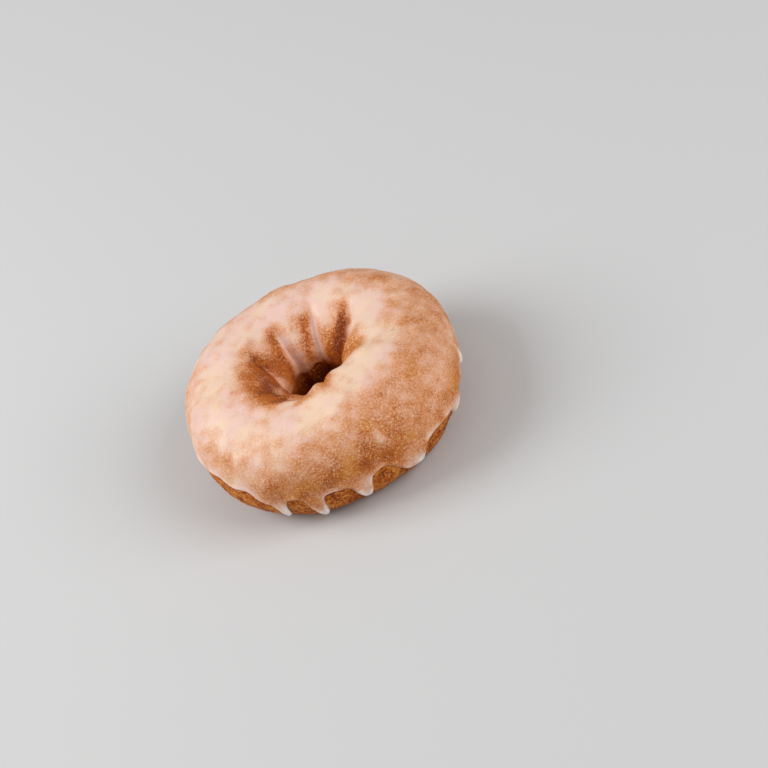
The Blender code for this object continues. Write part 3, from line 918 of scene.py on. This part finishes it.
def new_group(name, inputs, outputs):
    """A shader node group and its two ends: Vector is a vector socket, the others are numbers."""
    group = bpy.data.node_groups.new(name, "ShaderNodeTree")
    for way, sockets in (("INPUT", inputs), ("OUTPUT", outputs)):
        for socket in sockets:
            kind = "NodeSocketVector" if socket == "Vector" else "NodeSocketFloat"
            group.interface.new_socket(socket, in_out=way, socket_type=kind)
    entry = group.nodes.new("NodeGroupInput")
    exit_node = group.nodes.new("NodeGroupOutput")
    return group, Shading(group), entry.outputs, exit_node.inputs


def grain_group():
    """Fried grain: round beads of random brightness with finer noise between, as a tone and a height."""
    group, tree, entry, end = new_group("fried_grain", ("Vector", "Scale"), ("Tone", "Height"))
    fine = tree.scaled(tree.noise(entry["Vector"], entry["Scale"], *FINE_NOISE), *FINE_RANGE)
    bead_scale = tree.math("MULTIPLY", entry["Scale"], BEAD_FINENESS)
    distance, drawn = tree.cells(entry["Vector"], bead_scale)
    bead = tree.scaled(distance, *BEAD_RIM_TO_TOP)
    bright = tree.math("MULTIPLY", bead, drawn)
    tone = tree.math("MULTIPLY_ADD", bright, TONE_BEADS, tree.math("MULTIPLY", fine, TONE_NOISE))
    height = tree.math("MULTIPLY_ADD", bead, HEIGHT_BEADS, tree.math("MULTIPLY", fine, HEIGHT_NOISE))
    tree.join(tone, end["Tone"])
    tree.join(height, end["Height"])
    return group


def mottle_group():
    """Cloudy patches: one noise and another about three times finer, as a tone round one half."""
    group, tree, entry, end = new_group("mottle", ("Vector", "Scale"), ("Tone",))
    broad = tree.noise(entry["Vector"], entry["Scale"], *BROAD_NOISE)
    finer_scale = tree.math("MULTIPLY", entry["Scale"], FINER_TIMES)
    finer = tree.noise(entry["Vector"], finer_scale, *FINER_NOISE)
    both = tree.math("MULTIPLY_ADD", finer, FINER_SHARE, tree.math("MULTIPLY", broad, BROAD_SHARE))
    tree.join(tree.scaled(both, *MOTTLE_RANGE), end["Tone"])
    return group


def specks_group():
    """Specks: a random few of the cells carry a small round spot, 1 at its middle."""
    group, tree, entry, end = new_group("specks", ("Vector", "Scale", "Radius", "Share"), ("Mask",))
    distance, drawn = tree.cells(entry["Vector"], entry["Scale"])
    chosen = tree.math("LESS_THAN", drawn, entry["Share"])
    nearness = tree.math("SUBTRACT", 1.0, tree.math("DIVIDE", distance, entry["Radius"]), clamp=True)
    tree.join(tree.math("MULTIPLY", chosen, tree.scaled(nearness, 0.0, SPECK_FULL)), end["Mask"])
    return group


GRAIN = grain_group()
MOTTLE = mottle_group()
SPECKS = specks_group()

# Colours, as linear shares of the light sent back
CRUST_GOLD = (0.70, 0.270, 0.050, 1.0)
CRUST_BROWN = (0.50, 0.122, 0.009, 1.0)
CRUST_DARK = (0.24, 0.042, 0.003, 1.0)
GLAZE_TAN = (0.76, 0.355, 0.185, 1.0)
GLAZE_CREAM = (0.90, 0.650, 0.470, 1.0)
GLAZE_PINK = (0.87, 0.595, 0.515, 1.0)
# thick white glaze, also used as painted highlight
WHITE_GLAZE_AND_HIGHLIGHT = (0.95, 0.830, 0.790, 1.0)
GOLD_GRAIN = (1.0, 0.620, 0.290, 1.0)
FLOOR_GREY = (0.64, 0.64, 0.64, 1.0)

# The middle of a mottle's tone, and the height that the bump stands for in both finishes
TONE_MIDDLE = 0.5
BUMP_HEIGHT = 0.22 * MM
# Crust: share of the patches, its level, the grain's middle, and where it turns brown and dark
CRUST_PATCHES = 0.55
CRUST_LEVEL = 0.26
CRUST_GRAIN_MIDDLE = 0.175
TURNS_BROWN = (0.15, 0.95)
TURNS_DARK = (0.85, 1.45)
# Bare dough. Scales are cells a metre, and specks have a scale, radius and share of the cells.
DOUGH_GRAIN_SCALE = 1150.0
DOUGH_PATCH_SCALE = 210.0
DOUGH_CONTRAST = 1.5
DOUGH_BEADS = (900.0, 0.36, 0.34)
DOUGH_BEADS_SHOW = 0.5
PITS = (420.0, 0.30, 0.35)
PITS_SHOW = 0.55
PITS_SINK = -0.8
DOUGH_ROUGHNESS = (0.62, 0.44)
DOUGH_PLAIN = {
    "Specular IOR Level": 0.1,
    "Subsurface Weight": 0.12,
    "Subsurface Radius": (1.0, 0.4, 0.15),
    "Subsurface Scale": 0.8 * MM,
}
# Glaze: its scales, how uneven it lies, and how much the crust's grain shows through it
GLAZE_GRAIN_SCALE = 1500.0
GLAZE_PATCH_SCALE = 230.0
GLAZE_TINT_SCALE = 75.0
GLAZE_BLOTS = 0.12
SPECKLE_MIDDLE = 0.45
SPECKLE = 0.52
SPECKLE_BY_THINNESS = (0.8, 0.30)
LEAST_GRIT = 0.55
GLAZE_CONTRAST = 0.60
# Glaze: change of its tint, and the cover over which it turns tan and then pale
TINT_CHANGE = 0.8
TURNS_TAN = (0.05, 0.60)
TURNS_PALE = (0.40, 0.98)
# Glaze: golden beads and lumps, the thinness over which they show, and brown freckles
GLAZE_BEADS = (1050.0, 0.40, 0.60)
GLAZE_LUMPS = (720.0, 0.38, 0.22)
BEADS_SHOW = (0.08, 0.55)
FRECKLES = (150.0, 0.20, 0.14)
FRECKLES_SHOW = 0.45
# Glaze: roughness where thin and where thick, and how white, beads and gloss change the surface
GLAZE_ROUGHNESS = (0.58, 0.42)
WHITE_SMOOTHS = -0.14
BEADS_SMOOTH = -0.20
GLOSS_SMOOTHS = -0.24
GLOSS_COAT = 0.45
GLOSS_FLATTENS = -0.75
GRAIN_BY_THINNESS = (0.9, 0.10)
BEADS_RISE = 0.35
GLAZE_PLAIN = {
    "Specular IOR Level": 0.28,
    "Coat Roughness": 0.26,
    "Subsurface Weight": 0.15,
    "Subsurface Radius": (1.0, 0.45, 0.25),
    "Subsurface Scale": 0.6 * MM,
}
# Floor of matt card
FLOOR_ROUGHNESS = 0.9
FLOOR_SPECULAR = 0.2


def principled(name):
    """A material with its node tree and its Principled BSDF."""
    material = bpy.data.materials.new(name)
    material.use_nodes = True
    return material, Shading(material.node_tree), material.node_tree.nodes["Principled BSDF"]


def use_group(tree, group, vector, **values):
    """One use of a node group, with its own values."""
    made = tree.add("ShaderNodeGroup", node_tree=group)
    tree.join(vector, made.inputs["Vector"])
    for name, value in values.items():
        made.inputs[name].default_value = value
    return made.outputs


def specks(tree, vector, scale, radius, share):
    """The mask of one kind of speck."""
    return use_group(tree, SPECKS, vector, Scale=scale, Radius=radius, Share=share)["Mask"]


def finish(tree, shader, colour, roughness, height, plain):
    """A finish: what changes over the surface is linked, and what is plain is set on the shader."""
    tree.join(colour, shader.inputs["Base Color"])
    tree.join(roughness, shader.inputs["Roughness"])
    bump = tree.add("ShaderNodeBump", {"Height": height, "Strength": 1.0, "Distance": BUMP_HEIGHT})
    tree.join(bump.outputs[0], shader.inputs["Normal"])
    for name, value in plain.items():
        shader.inputs[name].default_value = value


def crust_colour(tree, toast_and_shade, patch, grain, contrast):
    """Fried crust: gold to brown by how far it is toasted and by patch and grain, then darker."""
    uneven = tree.math("SUBTRACT", tree.math("MULTIPLY", patch, CRUST_PATCHES), grain)
    level = tree.math("ADD", toast_and_shade, CRUST_LEVEL)
    tone = tree.math("MULTIPLY_ADD", tree.math("ADD", uneven, CRUST_GRAIN_MIDDLE), contrast, level)
    brown = tree.blend(tree.scaled(tone, *TURNS_BROWN), CRUST_GOLD, CRUST_BROWN)
    return tree.blend(tree.scaled(tone, *TURNS_DARK), brown, CRUST_DARK)


def dough_material():
    """Bare fried crust: golden brown in patches, with grain, golden beads and pits."""
    material, tree, shader = principled("fried_dough")
    place = tree.place()
    grain = use_group(tree, GRAIN, place, Scale=DOUGH_GRAIN_SCALE)
    patch = use_group(tree, MOTTLE, place, Scale=DOUGH_PATCH_SCALE)["Tone"]
    # the toast field carries painted shade in the throat
    colour = crust_colour(tree, tree.field("toast_and_shade"), patch, grain["Tone"], DOUGH_CONTRAST)
    beads = specks(tree, place, *DOUGH_BEADS)
    colour = tree.blend(tree.math("MULTIPLY", beads, DOUGH_BEADS_SHOW), colour, GOLD_GRAIN)
    pits = specks(tree, place, *PITS)
    colour = tree.blend(tree.math("MULTIPLY", pits, PITS_SHOW), colour, CRUST_DARK)
    rough = tree.scaled(grain["Tone"], 0.0, 1.0, *DOUGH_ROUGHNESS)
    height = tree.math("MULTIPLY_ADD", pits, PITS_SINK, grain["Height"])
    finish(tree, shader, colour, rough, height, DOUGH_PLAIN)
    return material


def glaze_material():
    """Thin sugar glaze: the crust shows through where it is thin, and it is pale where it is thick.

    How it lies is its cover, blots, and a speckle that is stronger where it is thin or gritty. The
    colour goes by that from the crust's over tan to pale, and where it is thin, golden beads show.
    """
    material, tree, shader = principled("sugar_glaze")
    place = tree.place()
    grain = use_group(tree, GRAIN, place, Scale=GLAZE_GRAIN_SCALE)
    patch = use_group(tree, MOTTLE, place, Scale=GLAZE_PATCH_SCALE)["Tone"]
    tint = use_group(tree, MOTTLE, place, Scale=GLAZE_TINT_SCALE)["Tone"]
    cover = tree.field("cover")
    thin = tree.math("SUBTRACT", 1.0, cover)
    blot = tree.math("MULTIPLY", tree.math("SUBTRACT", patch, TONE_MIDDLE), GLAZE_BLOTS)
    speckle = tree.math("MULTIPLY", tree.math("SUBTRACT", grain["Tone"], SPECKLE_MIDDLE), SPECKLE)
    grit = tree.field("grit")
    rough_grain = tree.math("ADD", grit, LEAST_GRIT)
    speckle = tree.math("MULTIPLY", speckle, tree.math("MULTIPLY_ADD", thin, *SPECKLE_BY_THINNESS))
    uneven = tree.math("MULTIPLY_ADD", speckle, rough_grain, blot)
    lies = tree.math("ADD", cover, uneven, clamp=True)
    contrast = tree.math("MULTIPLY", rough_grain, GLAZE_CONTRAST)
    # the toast field carries painted shade in the throat, in the funnel and beyond each crease
    crust = crust_colour(tree, tree.field("toast_and_shade"), patch, grain["Tone"], contrast)
    tint = tree.math("SUBTRACT", tint, TONE_MIDDLE)
    tint = tree.math("MULTIPLY_ADD", tint, TINT_CHANGE, tree.field("rosy"))
    pale = tree.blend(tree.scaled(tint, 0.0, 1.0), GLAZE_CREAM, GLAZE_PINK)
    # white is thick glaze, and partly painted highlight along the rim, at the drips' tips and on the side
    # run
    white = tree.field("white")
    pale = tree.blend(white, pale, WHITE_GLAZE_AND_HIGHLIGHT)
    colour = tree.blend(tree.scaled(lies, *TURNS_TAN), crust, GLAZE_TAN)
    colour = tree.blend(tree.scaled(lies, *TURNS_PALE), colour, pale)
    beads = tree.math("MAXIMUM", specks(tree, place, *GLAZE_BEADS), specks(tree, place, *GLAZE_LUMPS))
    showing = tree.math("MULTIPLY", beads, tree.scaled(thin, *BEADS_SHOW))
    showing = tree.math("MULTIPLY", showing, grit)
    colour = tree.blend(showing, colour, GOLD_GRAIN)
    freckles = tree.math("MULTIPLY", specks(tree, place, *FRECKLES), FRECKLES_SHOW)
    colour = tree.blend(freckles, colour, CRUST_BROWN)
    gloss = tree.field("gloss")
    rough = tree.math("MULTIPLY_ADD", white, WHITE_SMOOTHS, tree.scaled(lies, 0.0, 1.0, *GLAZE_ROUGHNESS))
    rough = tree.math("MULTIPLY_ADD", showing, BEADS_SMOOTH, rough)
    rough = tree.math("MULTIPLY_ADD", gloss, GLOSS_SMOOTHS, rough)
    tree.join(tree.math("MULTIPLY", gloss, GLOSS_COAT), shader.inputs["Coat Weight"])
    stands = tree.math("MULTIPLY_ADD", thin, *GRAIN_BY_THINNESS)
    grainy = tree.math("MULTIPLY", grain["Height"], stands)
    grainy = tree.math("MULTIPLY", grainy, tree.math("MULTIPLY_ADD", gloss, GLOSS_FLATTENS, 1.0))
    height = tree.math("MULTIPLY_ADD", showing, BEADS_RISE, grainy)
    finish(tree, shader, colour, rough, height, GLAZE_PLAIN)
    return material


def floor_material():
    """Matt pale card."""
    material, _, shader = principled("pale_floor")
    shader.inputs["Base Color"].default_value = FLOOR_GREY
    shader.inputs["Roughness"].default_value = FLOOR_ROUGHNESS
    shader.inputs["Specular IOR Level"].default_value = FLOOR_SPECULAR
    return material


# The photograph's view of the ring, in the ring's own upright frame
VIEW_ELEVATION = math.radians(40.0)
VIEW_ROLL = math.radians(28.7)
VIEW_DISTANCE = 0.8
VIEW_TARGET = Vector((-0.3 * MM, 0.45 * MM, 18.0 * MM))
PICTURE_SIDE = 768
RING_SCALE = 3.115 / MM
RING_CENTRE = (322.4, 386.6)
SENSOR_WIDTH = 36.0


def view_axes():
    """The camera's right, up and forward before it is aimed, rolled about its forward axis."""
    forward = Vector((0.0, math.cos(VIEW_ELEVATION), -math.sin(VIEW_ELEVATION)))
    level_right = Vector((1.0, 0.0, 0.0))
    level_up = level_right.cross(forward)
    right = math.cos(VIEW_ROLL) * level_right - math.sin(VIEW_ROLL) * level_up
    up = math.sin(VIEW_ROLL) * level_right + math.cos(VIEW_ROLL) * level_up
    return right, up, forward


def make_camera():
    """A camera aimed so that the ring's middle falls at its pixel, without any lens shift."""
    right, up, forward = view_axes()
    focal = RING_SCALE * VIEW_DISTANCE
    half = PICTURE_SIDE / 2.0
    across = (RING_CENTRE[0] - half) / focal
    upward = (half - RING_CENTRE[1]) / focal
    aim = Vector((0.0, 0.0, -1.0)).rotation_difference(Vector((across, upward, -1.0)).normalized())
    axes = Matrix((right, up, -forward)).transposed() @ aim.to_matrix().transposed()
    data = bpy.data.cameras.new("view")
    data.sensor_width = SENSOR_WIDTH
    data.lens = SENSOR_WIDTH * focal / PICTURE_SIDE
    camera = bpy.data.objects.new("view", data)
    camera.matrix_world = Matrix.Translation(VIEW_TARGET - forward * VIEW_DISTANCE) @ axes.to_4x4()
    bpy.context.scene.collection.objects.link(camera)
    bpy.context.scene.camera = camera


# Studio light: a soft box up on the left, a larger one up in front on the right, a white room
KEY_DIRECTION = Vector((-0.75, 0.25, 0.61))
KEY_DISTANCE = 1.1
KEY_SIZE = 0.70
KEY_POWER = 8.8
FILL_DIRECTION = Vector((0.69, -0.50, 0.60))
FILL_DISTANCE = 1.5
FILL_SIZE = 1.0
FILL_POWER = 12.3
ROOM_GREY = (1.0, 1.0, 1.0, 1.0)
ROOM_LIGHT = 0.34


def soft_box(name, direction, distance, size, power):
    """A square area light that faces the ring."""
    data = bpy.data.lights.new(name, "AREA")
    data.shape = "SQUARE"
    data.size = size
    data.energy = power
    lamp = bpy.data.objects.new(name, data)
    away = direction.normalized()
    lamp.location = VIEW_TARGET + away * distance
    lamp.rotation_euler = away.to_track_quat("Z", "Y").to_euler()
    bpy.context.scene.collection.objects.link(lamp)


def make_light():
    """The two soft boxes and the room's even light, shown without any film curve."""
    soft_box("key_light", KEY_DIRECTION, KEY_DISTANCE, KEY_SIZE, KEY_POWER)
    soft_box("fill_light", FILL_DIRECTION, FILL_DISTANCE, FILL_SIZE, FILL_POWER)
    world = bpy.data.worlds.new("room")
    world.use_nodes = True
    background = world.node_tree.nodes["Background"]
    background.inputs["Color"].default_value = ROOM_GREY
    background.inputs["Strength"].default_value = ROOM_LIGHT
    bpy.context.scene.world = world
    bpy.context.scene.view_settings.view_transform = "Standard"


FLOOR_HALF = 3.0


def make_floor():
    """A wide flat floor under the ring."""
    corners = [(x, y, 0.0) for x, y in ((-1, -1), (1, -1), (1, 1), (-1, 1))]
    mesh = bpy.data.meshes.new("floor")
    mesh.from_pydata([Vector(corner) * FLOOR_HALF for corner in corners], [], [(0, 1, 2, 3)])
    mesh.materials.append(floor_material())
    floor = bpy.data.objects.new("floor", mesh)
    bpy.context.scene.collection.objects.link(floor)


def fit_to_frame(*grids):
    """The grids shifted and scaled alike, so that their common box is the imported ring's box."""
    low = np.min([grid.min(axis=(0, 1)) for grid in grids], axis=0)
    high = np.max([grid.max(axis=(0, 1)) for grid in grids], axis=0)
    box_low, box_high = (np.array(corner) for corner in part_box("doughnut"))
    scale = (box_high - box_low) / (high - low)
    return [box_low + (grid - low) * scale for grid in grids]


def make_doughnut():
    """Both pieces, which ride on the part's one body and stand for its one solid."""
    glaze_points, glaze_fields = glaze_grid()
    dough_points, dough_fields = dough_grid()
    glaze_points, dough_points = fit_to_frame(glaze_points, dough_points)
    dough = grid_piece("dough", dough_points, dough_fields, dough_material())
    glaze = grid_piece("glaze", glaze_points, glaze_fields, glaze_material())
    for piece, slot in ((dough, "crust"), (glaze, "glaze")):
        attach(piece, "root")
        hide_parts("doughnut")


make_camera()
make_floor()
make_light()
make_doughnut()
